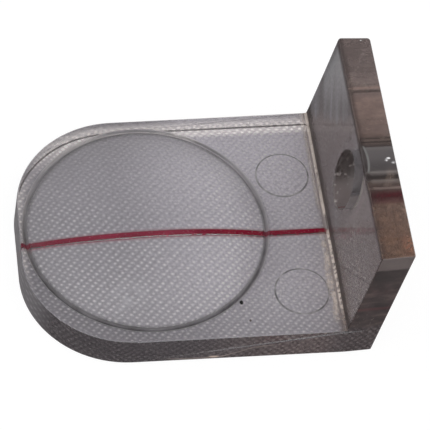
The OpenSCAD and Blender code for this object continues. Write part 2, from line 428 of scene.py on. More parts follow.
def edge_faces():
    """Sides of the plate and ends of the flange: painted dark brownish shade, with the lattice showing faintly through.
    """
    mat, n, co, px, py, pz, flow, rough, bump = moulded("moulded_edge", 0.16, 0.6)
    back = n("ShaderNodeNewGeometry").outputs["Backfacing"]
    streak = n("ShaderNodeTexNoise", {"Vector": n("ShaderNodeMapping", {"Vector": co, "Scale": (500.0, 500.0, 1500.0), "Rotation": (0.0, 0.35, 0.0)}).outputs[0], "Scale": 1.0, "Detail": 5.0}).outputs["Fac"]
    grit = n("ShaderNodeTexNoise", {"Vector": co, "Scale": 4200.0, "Detail": 2.0}).outputs["Fac"]
    dots = lattice(n, co, (1150.0, 300.0, 1500.0), (1250.0, -400.0, -1250.0), 0.0004)
    low = smooth(n, pz, 0.0031, 0.0040, 1.0, 0.0)
    # plate sides: painted shade with light dots, painted lighter towards the flange and darker again at its root
    right = n.math("MULTIPLY", smooth(n, px, 0.002, 0.015), smooth(n, px, 0.0165, 0.0195, 1.0, 0.35))
    base = n.mix(right, n.mix(smooth(n, px, -0.006, 0.001), (0.052, 0.045, 0.050), (0.068, 0.059, 0.065)), (0.150, 0.115, 0.113))
    base = n.mix(smooth(n, px, 0.0190, 0.0205, 0.0, 0.35), base, (0.050, 0.038, 0.038))
    spots = n.math("MULTIPLY", dots, n.math("MULTIPLY", n.math("SUBTRACT", grit, 0.28, clamp=True), 4.2), clamp=True)
    plate_c = n.mix(n.math("MULTIPLY", spots, n.math("ADD", n.math("MULTIPLY", right, 0.22), 0.50)), base, n.mix(right, (0.27, 0.245, 0.255), (0.44, 0.37, 0.35)))
    plate_c = n.mix(n.math("MULTIPLY", n.math("MULTIPLY", right, smooth(n, grit, 0.36, 0.50, 1.0, 0.0)), 0.55), plate_c, (0.050, 0.036, 0.036))
    tip = n.math("MULTIPLY", smooth(n, py, -0.0118, -0.0070), smooth(n, px, -0.0122, -0.0095, 1.0, 0.0))
    plate_c = n.mix(n.math("MULTIPLY", tip, 0.85), plate_c, n.mix(spots, (0.26, 0.252, 0.265), (0.46, 0.45, 0.46)))
    # painted glint: a thin pale line running along the lower part of the near plate side
    line = n("ShaderNodeFloatCurve", {"Value": n("ShaderNodeMapRange", {"Value": px, "From Min": 0.0, "From Max": 0.020}).outputs[0]})
    pts = line.mapping.curves[0].points
    for i, (u, w) in enumerate(((0.0, 0.15), (0.31, 0.11), (0.41, 0.26), (0.53, 0.50), (0.74, 0.55), (1.0, 0.85))):
        if i == 0 or u == 1.0:
            pts[0 if i == 0 else len(pts) - 1].location = (u, w)
        else:
            pts.new(u, w)
    line.mapping.update()
    gap = n.math("ABSOLUTE", n.math("SUBTRACT", pz, n.math("MULTIPLY", line.outputs[0], 0.0032)))
    glint_line = n.math("MULTIPLY", smooth(n, gap, 0.00002, 0.00014, 1.0, 0.0), n.math("MULTIPLY", smooth(n, px, 0.0005, 0.0025), smooth(n, px, 0.0105, 0.0130, 1.0, 0.0)))
    plate_c = n.mix(n.math("MULTIPLY", glint_line, n.math("ADD", streak, 0.2)), plate_c, (0.48, 0.40, 0.36))
    # painted glint: a small warm white spot low on the near plate side
    glint_dist = n("ShaderNodeVectorMath", {0: n("ShaderNodeCombineXYZ", {"X": n.math("MULTIPLY", n.math("SUBTRACT", px, 0.00605), 0.28), "Y": n.math("SUBTRACT", pz, 0.00040)}).outputs[0]}, operation="LENGTH").outputs["Value"]
    plate_c = n.mix(smooth(n, glint_dist, 0.00006, 0.00020, 1.0, 0.0), plate_c, (1.0, 0.82, 0.68))
    # flange ends: streaky painted dark brown shade, darker towards the top, with a painted lighter strip along the top
    end_c = n.ramp(streak, [(0.30, (0.034, 0.026, 0.026)), (0.52, (0.072, 0.053, 0.051)), (0.74, (0.145, 0.104, 0.095))])
    strip = smooth(n, n.math("ADD", pz, n.math("MULTIPLY", streak, 0.0004)), 0.01130, 0.01165)
    end_c = n.mix(smooth(n, pz, 0.0088, 0.0106, 0.0, 0.70), end_c, (0.030, 0.024, 0.024))
    end_c = n.mix(n.math("MULTIPLY", strip, 0.85), end_c, n.mix(streak, (0.150, 0.122, 0.115), (0.270, 0.225, 0.212)))
    speck = n.math("MULTIPLY", n.math("SUBTRACT", grit, 0.62, clamp=True), smooth(n, pz, 0.002, 0.007, 2.2, 0.3))
    end_c = n.mix(n.math("MULTIPLY", speck, 2.0, clamp=True), end_c, (0.34, 0.29, 0.26))
    # painted reflection: a faint red line of the hairline across the flange ends
    red_reflection = smooth(n, n.math("ABSOLUTE", n.math("SUBTRACT", pz, n.math("ADD", n.math("MULTIPLY", streak, 0.0003), 0.0060))), 0.0, 0.00035, 0.45, 0.0)
    end_c = n.mix(red_reflection, end_c, (0.12, 0.022, 0.03))
    haze_and_painted_light = n.mix(low, end_c, plate_c)
    # from inside, the same faces get a painted pale grey with bright dots and bands: a lit copy of the painted shade
    # seen from outside
    inside = n.mix(streak, (0.19, 0.185, 0.188), (0.34, 0.33, 0.335))
    inside = n.mix(smooth(n, pz, 0.0007, 0.0019, 1.0, 0.0), inside, n.mix(spots, (0.40, 0.385, 0.37), (0.98, 0.91, 0.84)))
    beat = n.math("COSINE", n.math("ADD", n.math("MULTIPLY", n.math("SUBTRACT", px, py), 2 * math.pi * 1750.0), n.math("MULTIPLY", streak, 3.0)))
    beat = n.math("MULTIPLY", smooth(n, beat, -0.5, 0.7), n.math("MULTIPLY", smooth(n, pz, 0.0002, 0.0004), smooth(n, pz, 0.0009, 0.0014, 1.0, 0.0)))
    inside = n.mix(beat, inside, (1.0, 0.92, 0.84))
    haze_and_painted_light = n.mix(back, haze_and_painted_light, inside)
    share = n.mix(back, n.mix(low, (0.80, 0.80, 0.80), (0.62, 0.62, 0.62)), n.mix(low, (0.62, 0.62, 0.62), (0.12, 0.12, 0.12)))
    share = n.math("MULTIPLY", share, 1.0)
    tone = n.mix(low, (0.50, 0.43, 0.41), (0.62, 0.57, 0.57))
    finish_plastic(n, tone, rough, bump, share, haze_and_painted_light, 0.32)
    return mat


def fillet():
    """Inside fillet: a broken line of matt satin, its pale tan and glitter painted highlight, with painted shade above
    it and at the near end.
    """
    mat, n, co, px, py, pz, flow, rough, bump = moulded("root_fillet", 0.1, 0.5)
    rise = n.math("SUBTRACT", pz, T * MM)
    band = n.math("MULTIPLY", smooth(n, rise, 0.00001, 0.00007), smooth(n, rise, 0.00020, 0.00034, 1.0, 0.0))
    chop = n("ShaderNodeTexNoise", {"Vector": co, "Scale": 1300.0, "Detail": 4.0}).outputs["Fac"]
    wander = n("ShaderNodeTexNoise", {"Vector": co, "Scale": 240.0, "Detail": 2.0}).outputs["Fac"]
    glit = n("ShaderNodeTexNoise", {"Vector": co, "Scale": 5200.0, "Detail": 1.0}).outputs["Fac"]
    share = n.math("MULTIPLY", band, n.math("MULTIPLY", n.math("SUBTRACT", n.math("ADD", chop, wander), 0.52, clamp=True), 2.6, clamp=True))
    gaps = smooth(n, n("ShaderNodeTexNoise", {"Vector": co, "Scale": 2100.0, "Detail": 3.0}).outputs["Fac"], 0.42, 0.56, 0.25, 1.0)
    share = n.math("MULTIPLY", share, n.mix(smooth(n, py, -0.004, 0.001), gaps, (1.0, 1.0, 1.0)))
    share = n.math("ADD", n.math("MULTIPLY", share, n.math("MULTIPLY", smooth(n, py, 0.0005, 0.0030, 0.85, 0.62), smooth(n, n.math("ABSOLUTE", n.math("ADD", py, 0.0006)), 0.0006, 0.0015, 0.15, 1.0))), 0.06, clamp=True)
    # painted shade: darker at the near end
    near_shade = smooth(n, py, -0.0132, -0.0105)
    col = n.mix(chop, (0.50, 0.42, 0.37), (0.80, 0.70, 0.63))
    col = n.mix(n.math("MULTIPLY", n.math("SUBTRACT", glit, 0.62, clamp=True), 5.0, clamp=True), col, (1.0, 0.97, 0.93))
    col = n.mix(near_shade, (0.22, 0.17, 0.15), col)
    # painted shade: a dark line along the upper edge of the fillet
    upper = smooth(n, rise, 0.00024, 0.00036)
    col = n.mix(upper, col, (0.050, 0.032, 0.028))
    share = n.math("MAXIMUM", share, n.math("MULTIPLY", upper, 0.75))
    finish_plastic(n, (0.85, 0.80, 0.76, 1), rough, bump, share, col, 0.4)
    return mat


def flange_top():
    """Top of the flange: brown smoke, warmer towards the near end, with fine mottling."""
    mat, n, co, px, py, pz, flow, rough, bump = moulded("flange_top", 0.09, 0.35)
    tint = n.ramp(n("ShaderNodeMapRange", {"Value": py, "From Min": -0.0141, "From Max": 0.0141}).outputs[0],
                  [(0.0, (0.64, 0.32, 0.18)), (0.32, (0.70, 0.42, 0.29)), (0.50, (0.85, 0.62, 0.50)), (0.68, (0.90, 0.64, 0.48)), (1.0, (0.76, 0.60, 0.54))])
    blot = n("ShaderNodeTexNoise", {"Vector": n("ShaderNodeMapping", {"Vector": co, "Scale": (420.0, 1100.0, 600.0)}).outputs[0], "Scale": 1.0, "Detail": 5.0, "Roughness": 0.65}).outputs["Fac"]
    grain = n("ShaderNodeTexNoise", {"Vector": co, "Scale": 3600.0, "Detail": 2.0}).outputs["Fac"]
    tint = n.mix(n.math("MULTIPLY", n.math("SUBTRACT", blot, 0.40, clamp=True), 1.8, clamp=True), tint, (0.46, 0.31, 0.25))
    amber = smooth(n, py, -0.0095, -0.0060, 1.0, 0.40)
    far = smooth(n, py, 0.0, 0.006)
    haze_and_painted_light = n.mix(grain, (0.105, 0.065, 0.049), (0.29, 0.165, 0.105))
    pock = n("ShaderNodeTexNoise", {"Vector": n("ShaderNodeMapping", {"Vector": co, "Scale": (1400.0, 1900.0, 600.0)}).outputs[0], "Scale": 1.0, "Detail": 4.0, "Roughness": 0.7}).outputs["Fac"]
    haze_and_painted_light = n.mix(smooth(n, pock, 0.50, 0.66, 0.0, 0.75), haze_and_painted_light, (0.46, 0.27, 0.17))
    haze_and_painted_light = n.mix(smooth(n, pock, 0.34, 0.46, 0.75, 0.0), haze_and_painted_light, (0.050, 0.030, 0.024))
    haze_and_painted_light = n.mix(far, haze_and_painted_light, n.mix(grain, (0.130, 0.102, 0.097), (0.290, 0.226, 0.212)))
    mid = n.math("MULTIPLY", smooth(n, py, 0.0005, 0.0015), smooth(n, py, 0.0050, 0.0075, 1.0, 0.0))
    haze_and_painted_light = n.mix(mid, haze_and_painted_light, n.mix(n.math("ADD", n.math("MULTIPLY", grain, 0.5), n.math("MULTIPLY", blot, 0.5)), (0.135, 0.093, 0.083), (0.335, 0.236, 0.202)))
    share = n.math("MULTIPLY", n.math("ADD", blot, 0.35), n.math("ADD", n.math("MULTIPLY", amber, 0.34), n.math("ADD", n.math("MULTIPLY", far, 0.52), n.math("MULTIPLY", mid, 0.30))), clamp=True)
    # painted refraction: the bore and the hairline seen through the top, drawn out into light and dark bands across it
    v = n.math("ADD", py, n.math("MULTIPLY", n.math("SUBTRACT", blot, 0.5), 0.00018))
    bands = [(-7.4, (0.110, 0.062, 0.044)), (-7.05, (0.110, 0.040, 0.034)), (-6.85, (0.060, 0.010, 0.014)), (-6.3, (0.045, 0.006, 0.010)), (-5.8, (0.055, 0.010, 0.014)),
             (-5.55, (0.040, 0.024, 0.022)), (-5.3, (0.230, 0.175, 0.155)), (-5.1, (0.070, 0.047, 0.042)), (-4.75, (0.110, 0.083, 0.075)), (-4.43, (0.230, 0.195, 0.180)),
             (-4.15, (0.050, 0.036, 0.033)), (-3.9, (0.040, 0.030, 0.029)), (-3.6, (0.150, 0.128, 0.122)), (-3.4, (0.290, 0.260, 0.250)), (-3.15, (0.115, 0.103, 0.102)),
             (-2.6, (0.112, 0.102, 0.104)), (-1.6, (0.165, 0.152, 0.154)), (-0.8, (0.185, 0.170, 0.170)), (-0.45, (0.235, 0.212, 0.208)), (-0.25, (0.080, 0.060, 0.056)),
             (0.10, (0.150, 0.110, 0.096)), (0.25, (0.050, 0.034, 0.030)), (0.42, (0.170, 0.125, 0.108)), (0.58, (0.160, 0.115, 0.098)), (0.70, (0.050, 0.034, 0.030)), (1.0, (0.150, 0.105, 0.088))]
    strip = n.ramp(n("ShaderNodeMapRange", {"Value": v, "From Min": -0.0074, "From Max": 0.0010}).outputs[0], [((c + 7.4) / 8.4, col) for c, col in bands])
    there = n.math("MULTIPLY", smooth(n, v, -0.0075, -0.0070), smooth(n, v, 0.0008, 0.0012, 1.0, 0.0))
    haze_and_painted_light = n.mix(there, haze_and_painted_light, strip)
    share = n.math("MAXIMUM", share, n.math("MULTIPLY", there, 0.62))
    for c, half, col, k in ((6.98, 0.26, (0.28, 0.19, 0.165), 0.40), (6.55, 0.30, (0.050, 0.034, 0.033), 0.46), (-11.3, 0.30, (0.26, 0.13, 0.07), 0.30)):
        m = smooth(n, n.math("ABSOLUTE", n.math("SUBTRACT", v, c * MM)), 0.00004, half * MM, 1.0, 0.0)
        haze_and_painted_light = n.mix(m, haze_and_painted_light, col)
        share = n.math("MAXIMUM", share, n.math("MULTIPLY", m, k))
    d = n("ShaderNodeVectorMath", {0: n("ShaderNodeCombineXYZ", {"X": n.math("SUBTRACT", px, 0.0222), "Y": n.math("MULTIPLY", n.math("SUBTRACT", py, -0.0121), 0.6)}).outputs[0]}, operation="LENGTH").outputs["Value"]
    m = n.math("MULTIPLY", smooth(n, d, 0.0001, 0.0011, 0.75, 0.0), smooth(n, grain, 0.35, 0.60, 0.35, 1.0))
    haze_and_painted_light, share = n.mix(m, haze_and_painted_light, (0.40, 0.145, 0.075)), n.math("MAXIMUM", share, n.math("MULTIPLY", m, 0.8))
    gap = n.math("ABSOLUTE", n.math("SUBTRACT", n.math("ADD", px, n.math("MULTIPLY", n.math("SUBTRACT", blot, 0.5), 0.0003)), 0.02135))
    m = n.math("MULTIPLY", smooth(n, gap, 0.00003, 0.00014, 0.45, 0.0), n.math("MULTIPLY", smooth(n, py, -0.0078, -0.0074, 1.0, 0.0), smooth(n, py, -0.0125, -0.0112)))
    haze_and_painted_light, share = n.mix(m, haze_and_painted_light, (0.045, 0.030, 0.026)), n.math("MAXIMUM", share, m)
    # darker along the inner edge, a painted pale arc over the bore's mouth where its lip shows through, and a few
    # painted glints
    m = n.math("MULTIPLY", smooth(n, n.math("ADD", px, n.math("MULTIPLY", blot, 0.0003)), 0.01975, 0.02025, 1.0, 0.0), 0.66)
    haze_and_painted_light, share = n.mix(m, haze_and_painted_light, (0.035, 0.022, 0.021)), n.math("MAXIMUM", share, m)
    arc_x = n.math("ABSOLUTE", n.math("SUBTRACT", px, n.math("SUBTRACT", 0.01998, n.math("MULTIPLY", n.math("POWER", n.math("ABSOLUTE", n.math("ADD", n.math("MULTIPLY", py, 1000.0), 1.8)), 2.0), 0.00009))))
    m = n.math("MULTIPLY", smooth(n, arc_x, 0.00003, 0.00016, 1.0, 0.0), smooth(n, n.math("ABSOLUTE", n.math("ADD", py, 0.0018)), 0.0013, 0.0018, 1.0, 0.0))
    haze_and_painted_light, share = n.mix(m, haze_and_painted_light, (0.31, 0.31, 0.30)), n.math("MAXIMUM", share, n.math("MULTIPLY", m, 0.62))
    for gx, gy, gr in ((0.02174, -0.00205, 0.00016), (0.02236, -0.00236, 0.00022), (0.02200, -0.00176, 0.00010), (0.02165, 0.01303, 0.00015)):
        d = n("ShaderNodeVectorMath", {0: n("ShaderNodeCombineXYZ", {"X": n.math("SUBTRACT", px, gx), "Y": n.math("MULTIPLY", n.math("SUBTRACT", py, gy), 1.3)}).outputs[0]}, operation="LENGTH").outputs["Value"]
        m = smooth(n, n.math("ADD", d, n.math("MULTIPLY", n.math("SUBTRACT", blot, 0.4), 0.00110)), gr * 0.3, gr * 1.8, 1.0, 0.0)
        haze_and_painted_light, share = n.mix(m, haze_and_painted_light, (1.0, 1.0, 1.0)), n.math("MAXIMUM", share, m)
    finish_plastic(n, tint, rough, bump, share, haze_and_painted_light, 0.4)
    return mat


def flange_face():
    """Inner and outer faces of the flange: soft upright streaks, with a painted haze towards the far end where the far
    end face shows through.
    """
    mat, n, co, px, py, pz, flow, rough, bump = moulded("flange_face", 0.05, 0.5)
    along, across = n.vmath("DOT_PRODUCT", co, (0.0, 0.888, 0.460)), n.vmath("DOT_PRODUCT", co, (0.0, 0.460, -0.888))
    grow = n("ShaderNodeCombineXYZ", {"X": n.math("MULTIPLY", px, 200.0), "Y": n.math("MULTIPLY", across, 620.0), "Z": n.math("MULTIPLY", along, 95.0)}).outputs[0]
    streak = n("ShaderNodeTexNoise", {"Vector": grow, "Scale": 1.0, "Detail": 3.0, "Roughness": 0.45}).outputs["Fac"]
    fine = n("ShaderNodeTexNoise", {"Vector": co, "Scale": 3800.0, "Detail": 2.0}).outputs["Fac"]
    tone = n.mix(streak, (0.80, 0.68, 0.65), (0.98, 0.88, 0.86))
    far = smooth(n, py, -0.002, 0.009)
    haze_and_painted_light = n.ramp(streak, [(0.30, (0.150, 0.134, 0.138)), (0.50, (0.235, 0.222, 0.232)), (0.70, (0.350, 0.350, 0.372))])
    # painted shade low on the far half, a painted pale bluish highlight higher up, and painted shade towards the near
    # end
    slant = n.math("ADD", n.math("MULTIPLY", n.math("SUBTRACT", pz, 0.0032), 104.2), n.math("MULTIPLY", n.math("SUBTRACT", py, 0.0140), 83.3))
    slant = n.math("ADD", slant, n.math("MULTIPLY", n.math("SUBTRACT", streak, 0.5), 0.30))
    haze_and_painted_light = n.mix(n.math("MULTIPLY", smooth(n, slant, -0.04, 0.10, 1.0, 0.0), smooth(n, py, 0.0, 0.004)), haze_and_painted_light, (0.235, 0.198, 0.196))
    upper_highlight = n.math("MULTIPLY", smooth(n, slant, 0.10, 0.66), smooth(n, py, 0.0122, 0.0132, 1.0, 0.25))
    haze_and_painted_light = n.mix(n.math("MULTIPLY", upper_highlight, 0.80), haze_and_painted_light, (0.50, 0.505, 0.52))
    haze_and_painted_light = n.mix(smooth(n, py, -0.0040, 0.0005, 0.62, 0.0), haze_and_painted_light, n.mix(smooth(n, fine, 0.40, 0.60), (0.095, 0.075, 0.072), (0.215, 0.175, 0.168)))
    share = n.math("ADD", n.math("ADD", n.math("MULTIPLY", far, 0.38), n.math("MULTIPLY", fine, 0.26)), 0.11, clamp=True)
    # the underside's lattice glitters through the near half
    net = n.math("MULTIPLY", lattice(n, co, (0.0, 1150.0, 1500.0), (0.0, -1050.0, 1900.0), 0.0006), smooth(n, fine, 0.40, 0.62))
    net = n.math("MULTIPLY", n.math("MULTIPLY", net, smooth(n, py, -0.0045, 0.0005, 1.0, 0.12)), smooth(n, pz, 0.0080, 0.0110, 1.0, 0.25))
    glit = n("ShaderNodeTexNoise", {"Vector": n("ShaderNodeMapping", {"Vector": co, "Scale": (1.0, 0.75, 1.3)}).outputs[0], "Scale": 3600.0, "Detail": 3.0, "Roughness": 0.7}).outputs["Fac"]
    glit = n.math("MULTIPLY", smooth(n, glit, 0.50, 0.66), n.math("MULTIPLY", smooth(n, py, -0.0060, 0.0010, 1.0, 0.08), smooth(n, pz, 0.0085, 0.0115, 1.0, 0.30)))
    net = n.math("MAXIMUM", net, glit)
    haze_and_painted_light = n.mix(net, haze_and_painted_light, (0.54, 0.485, 0.465))
    share = n.math("ADD", share, n.math("MULTIPLY", net, 0.46), clamp=True)
    wave = n.math("MULTIPLY", n.math("SUBTRACT", streak, 0.5), 0.0003)
    for y0, z0, slope, y1 in ((-0.0051, 0.0082, 0.21, -0.0096), (-0.0062, 0.0037, -0.79, -0.0135)):
        gap = n.math("ABSOLUTE", n.math("SUBTRACT", n.math("ADD", pz, wave), n.math("ADD", n.math("MULTIPLY", n.math("SUBTRACT", py, y0), slope), z0)))
        m = n.math("MULTIPLY", smooth(n, gap, 0.00003, 0.00011, 0.55, 0.0), n.math("MULTIPLY", smooth(n, py, y0, y0 - 0.0006), smooth(n, py, y1, y1 - 0.0006, 1.0, 0.0)))
        haze_and_painted_light, share = n.mix(m, haze_and_painted_light, (0.060, 0.048, 0.047)), n.math("MAXIMUM", share, m)
    # clearer where the bore's wall shows through
    clear = n.math("MULTIPLY", smooth(n, n.math("ABSOLUTE", n.math("ADD", py, 0.0040)), 0.0012, 0.0020, 1.0, 0.0), smooth(n, n.math("ABSOLUTE", n.math("SUBTRACT", pz, 0.0088)), 0.0026, 0.0034, 0.75, 0.0))
    share = n.math("MULTIPLY", share, n.math("SUBTRACT", 1.0, clear))
    # painted shade: brown along the root and under the top edge of the inner face
    inner = smooth(n, px, 0.0205, 0.0215, 1.0, 0.0)
    for m, col, k in ((smooth(n, pz, 0.0034, 0.0056, 1.0, 0.0), (0.085, 0.066, 0.066), 0.50), (smooth(n, n.math("ADD", pz, n.math("MULTIPLY", fine, 0.0003)), 0.0041, 0.0049, 1.0, 0.0), (0.036, 0.024, 0.022), 0.80), (smooth(n, pz, 0.01210, 0.01260), (0.060, 0.040, 0.038), 0.70)):
        m = n.math("MULTIPLY", m, inner)
        haze_and_painted_light = n.mix(m, haze_and_painted_light, col)
        share = n.math("MAXIMUM", share, n.math("MULTIPLY", m, k))
    finish_plastic(n, tone, rough, bump, share, haze_and_painted_light, 0.45)
    return mat


def hole_wall():
    """Bore: painted dark shade on a drawn wall, with painted lighter arcs near the bottom, painted glints and a painted
    pale highlight on the outer lip.
    """
    mat, n, co, px, py, pz, flow, rough, bump = moulded("hole_wall", 0.15, 0.5)
    back = n("ShaderNodeNewGeometry").outputs["Backfacing"]
    rings = n("ShaderNodeTexNoise", {"Vector": n("ShaderNodeMapping", {"Vector": co, "Scale": (2600.0, 420.0, 420.0)}).outputs[0], "Scale": 1.0, "Detail": 4.0}).outputs["Fac"]
    # painted light: the lowest part of the bore, which faces up, is lighter
    lowest = smooth(n, pz, (HOLE_Z - 2.1) * MM, (HOLE_Z - 1.1) * MM, 1.0, 0.0)
    seen = n.mix(lowest, (0.048, 0.037, 0.034), (0.200, 0.170, 0.166))
    seen = n.mix(n.math("MULTIPLY", n.math("SUBTRACT", rings, 0.45, clamp=True), 2.5, clamp=True), seen, (0.20, 0.17, 0.165))
    near = n.math("MULTIPLY", smooth(n, pz, (HOLE_Z + 0.3) * MM, (HOLE_Z + 0.8) * MM, 1.0, 0.0), smooth(n, rings, 0.30, 0.55, 0.7, 1.0))
    # painted glints on the bore wall
    glint = n("ShaderNodeTexNoise", {"Vector": co, "Scale": 1500.0, "Detail": 2.0}).outputs["Fac"]
    seen = n.mix(n.math("MULTIPLY", n.math("SUBTRACT", glint, 0.60, clamp=True), 7.0, clamp=True), seen, (0.55, 0.50, 0.48))
    thru = n.mix(near, (0.026, 0.027, 0.027), (0.40, 0.395, 0.385))
    # painted highlight: a pale crescent at the outer lip, seen through the plastic
    lip = n.math("MULTIPLY", smooth(n, px, 0.02215, 0.02245), n.math("MULTIPLY", smooth(n, pz, 0.0066, 0.0078), smooth(n, pz, 0.0098, 0.0108, 1.0, 0.0)))
    thru = n.mix(lip, thru, (0.80, 0.83, 0.80))
    haze_and_painted_light = n.mix(back, seen, thru)
    share = n.math("ADD", n.math("MULTIPLY", back, 0.30), 0.66)
    finish_plastic(n, (0.70, 0.64, 0.62, 1), rough, bump, share, haze_and_painted_light, 0.25)
    return mat


def stipple():
    """Underside: a fine diagonal lattice of light dots on smoky grey; beyond the critical angle it half mirrors and
    shows a darker painted copy.
    """
    mat, nt = nodes_of("underside_stipple")
    n = N(nt)
    co = n("ShaderNodeTexCoord").outputs["Object"]
    dots = lattice(n, co, (1120.0, -1180.0, 0.0), (1220.0, 1760.0, 0.0), 0.00034, 1.4)
    vary = n("ShaderNodeTexNoise", {"Vector": co, "Scale": 1900.0, "Detail": 3.0}).outputs["Fac"]
    patch = n("ShaderNodeTexNoise", {"Vector": co, "Scale": 150.0, "Detail": 1.0}).outputs["Fac"]
    sep = n("ShaderNodeSeparateXYZ", {"Vector": co})
    px, py = sep.outputs["X"], sep.outputs["Y"]
    # the dots stand out most towards the tip and the near side
    reach = smooth(n, n.math("ADD", n.math("MULTIPLY", px, 0.6), py), -0.012, 0.006, 1.26, 0.58)
    reach = n.math("ADD", reach, smooth(n, px, 0.003, 0.009, 0.0, 0.38))
    out = n("ShaderNodeVectorMath", {0: n("ShaderNodeCombineXYZ", {"X": px, "Y": py}).outputs[0]}, operation="LENGTH").outputs["Value"]
    reach = n.math("MULTIPLY", reach, smooth(n, out, 0.0120, 0.0132, 1.0, 0.74))
    raw = dots
    amp = n.math("MULTIPLY", n.math("MULTIPLY", reach, n.math("ADD", n.math("MULTIPLY", vary, 2.6), -0.55, clamp=True)), n.math("ADD", patch, 0.5))
    dots = n.math("MULTIPLY", dots, amp)
    base = n("ShaderNodeTexNoise", {"Vector": co, "Scale": 130.0, "Detail": 4.0}).outputs["Fac"]
    grain = n("ShaderNodeTexNoise", {"Vector": co, "Scale": 3400.0, "Detail": 2.0}).outputs["Fac"]
    lo_c = n.mix(base, (0.485, 0.468, 0.512), (0.580, 0.560, 0.608))
    lo_c = n.mix(n.math("MULTIPLY", n.math("SUBTRACT", grain, 0.30, clamp=True), 1.1), lo_c, (0.24, 0.23, 0.26))
    spark = n("ShaderNodeTexNoise", {"Vector": co, "Scale": 4600.0, "Detail": 1.0}).outputs["Fac"]
    spark = n.math("MULTIPLY", n.math("SUBTRACT", spark, 0.56, clamp=True), 1.2, clamp=True)
    lo_c = n.mix(spark, lo_c, (1.0, 0.985, 1.0))
    # painted light: brighter between the lens and the flange
    right = n.math("MULTIPLY", smooth(n, px, -0.003, 0.0085), smooth(n, py, -0.0135, -0.005, 0.30, 1.0))
    gain = n.math("ADD", n.math("MULTIPLY", right, 0.62), n.math("ADD", smooth(n, py, 0.000, 0.009, 1.02, 1.16), n.math("MULTIPLY", right, smooth(n, py, 0.001, 0.009, 0.0, 0.12))))
    lo_c = n.vmath("SCALE", lo_c)
    n.nt.links.new(gain, lo_c.node.inputs["Scale"])
    col = n.mix(n.math("MULTIPLY", dots, 1.0, clamp=True), lo_c, (1.0, 0.985, 1.0))
    # painted light: paler round the rim, most of all along the back edge
    qx = n.math("MINIMUM", n.math("SUBTRACT", px, CX * MM), 0.0)
    qy = n.math("MAXIMUM", n.math("SUBTRACT", n.math("ABSOLUTE", py), CY * MM), 0.0)
    q = n("ShaderNodeVectorMath", {0: n("ShaderNodeCombineXYZ", {"X": qx, "Y": qy}).outputs[0]}, operation="LENGTH").outputs["Value"]
    rim = smooth(n, q, (TIP_R - 1.15) * MM, (TIP_R - 0.40) * MM)
    where = n.math("ADD", n.math("ADD", n.math("MULTIPLY", smooth(n, py, 0.009, 0.0135), 0.72), 0.22), smooth(n, px, -0.0112, -0.0128, 0.0, 0.32))
    col = n.mix(n.math("MULTIPLY", n.math("MULTIPLY", rim, where), n.math("ADD", n.math("MULTIPLY", raw, 0.9), 0.45), clamp=True), col, (1.0, 0.950, 0.925))
    # pink bleed beside the paint; painted brown shade under the flange
    bleed = smooth(n, n.math("ABSOLUTE", py), 0.00028, 0.00075, 0.42, 0.0)
    col = n.mix(bleed, col, (0.52, 0.16, 0.23))
    smear = n.math("MULTIPLY", smooth(n, n.math("ABSOLUTE", py), 0.00030, 0.00050, 0.85, 0.0), n.math("ADD", vary, 0.35), clamp=True)
    col = n.mix(smear, col, (0.38, 0.045, 0.095))
    under = n("ShaderNodeMapRange", {"Value": px, "From Min": 0.0190, "From Max": 0.0196, "To Min": 0.0, "To Max": 0.42}).outputs[0]
    col = n.mix(under, col, (0.24, 0.165, 0.13))
    # two specks of dirt and a patch of fine scratches
    for sx, sy, sr, sc in ((0.00948, -0.00849, 0.00021, (0.012, 0.010, 0.010)), (0.01013, -0.01076, 0.00013, (0.16, 0.13, 0.12))):
        dx, dy = n.math("SUBTRACT", px, sx), n.math("MULTIPLY", n.math("SUBTRACT", py, sy), 0.75)
        d = n("ShaderNodeVectorMath", {0: n("ShaderNodeCombineXYZ", {"X": dx, "Y": dy}).outputs[0]}, operation="LENGTH").outputs["Value"]
        d = n.math("ADD", d, n.math("MULTIPLY", grain, 0.00008))
        col = n.mix(smooth(n, d, sr * 0.9, sr * 1.35, 1.0, 0.0), col, sc)
    dx, dy = n.math("SUBTRACT", px, 0.0131), n.math("SUBTRACT", py, -0.0078)
    d = n("ShaderNodeVectorMath", {0: n("ShaderNodeCombineXYZ", {"X": dx, "Y": dy}).outputs[0]}, operation="LENGTH").outputs["Value"]
    hair = n("ShaderNodeTexWave", {"Vector": n("ShaderNodeMapping", {"Vector": co, "Rotation": (0.0, 0.0, 0.9), "Scale": (1500.0, 260.0, 1.0)}).outputs[0], "Scale": 1.0, "Distortion": 6.0, "Detail": 3.0}).outputs["Fac"]
    hair = n.math("MULTIPLY", n.math("POWER", hair, 14.0), smooth(n, d, 0.0004, 0.0021, 0.55, 0.0))
    col = n.mix(hair, col, (1.0, 0.99, 0.99))
    dx, dy = n.math("SUBTRACT", px, -0.0020), n.math("SUBTRACT", py, -0.0066)
    d = n("ShaderNodeVectorMath", {0: n("ShaderNodeCombineXYZ", {"X": n.math("ADD", dx, n.math("MULTIPLY", dy, -0.35)), "Y": n.math("MULTIPLY", dy, 0.8)}).outputs[0]}, operation="LENGTH").outputs["Value"]
    scuff = n.math("MULTIPLY", smooth(n, d, 0.0003, 0.0027, 1.0, 0.0), smooth(n, n("ShaderNodeTexNoise", {"Vector": co, "Scale": 900.0, "Detail": 4.0, "Roughness": 0.6}).outputs["Fac"], 0.36, 0.66))
    col = n.mix(n.math("MULTIPLY", scuff, 0.34), col, (0.96, 0.96, 1.0))
    bump = n("ShaderNodeBump", {"Height": dots, "Strength": 0.3, "Distance": 0.00003}).outputs[0]
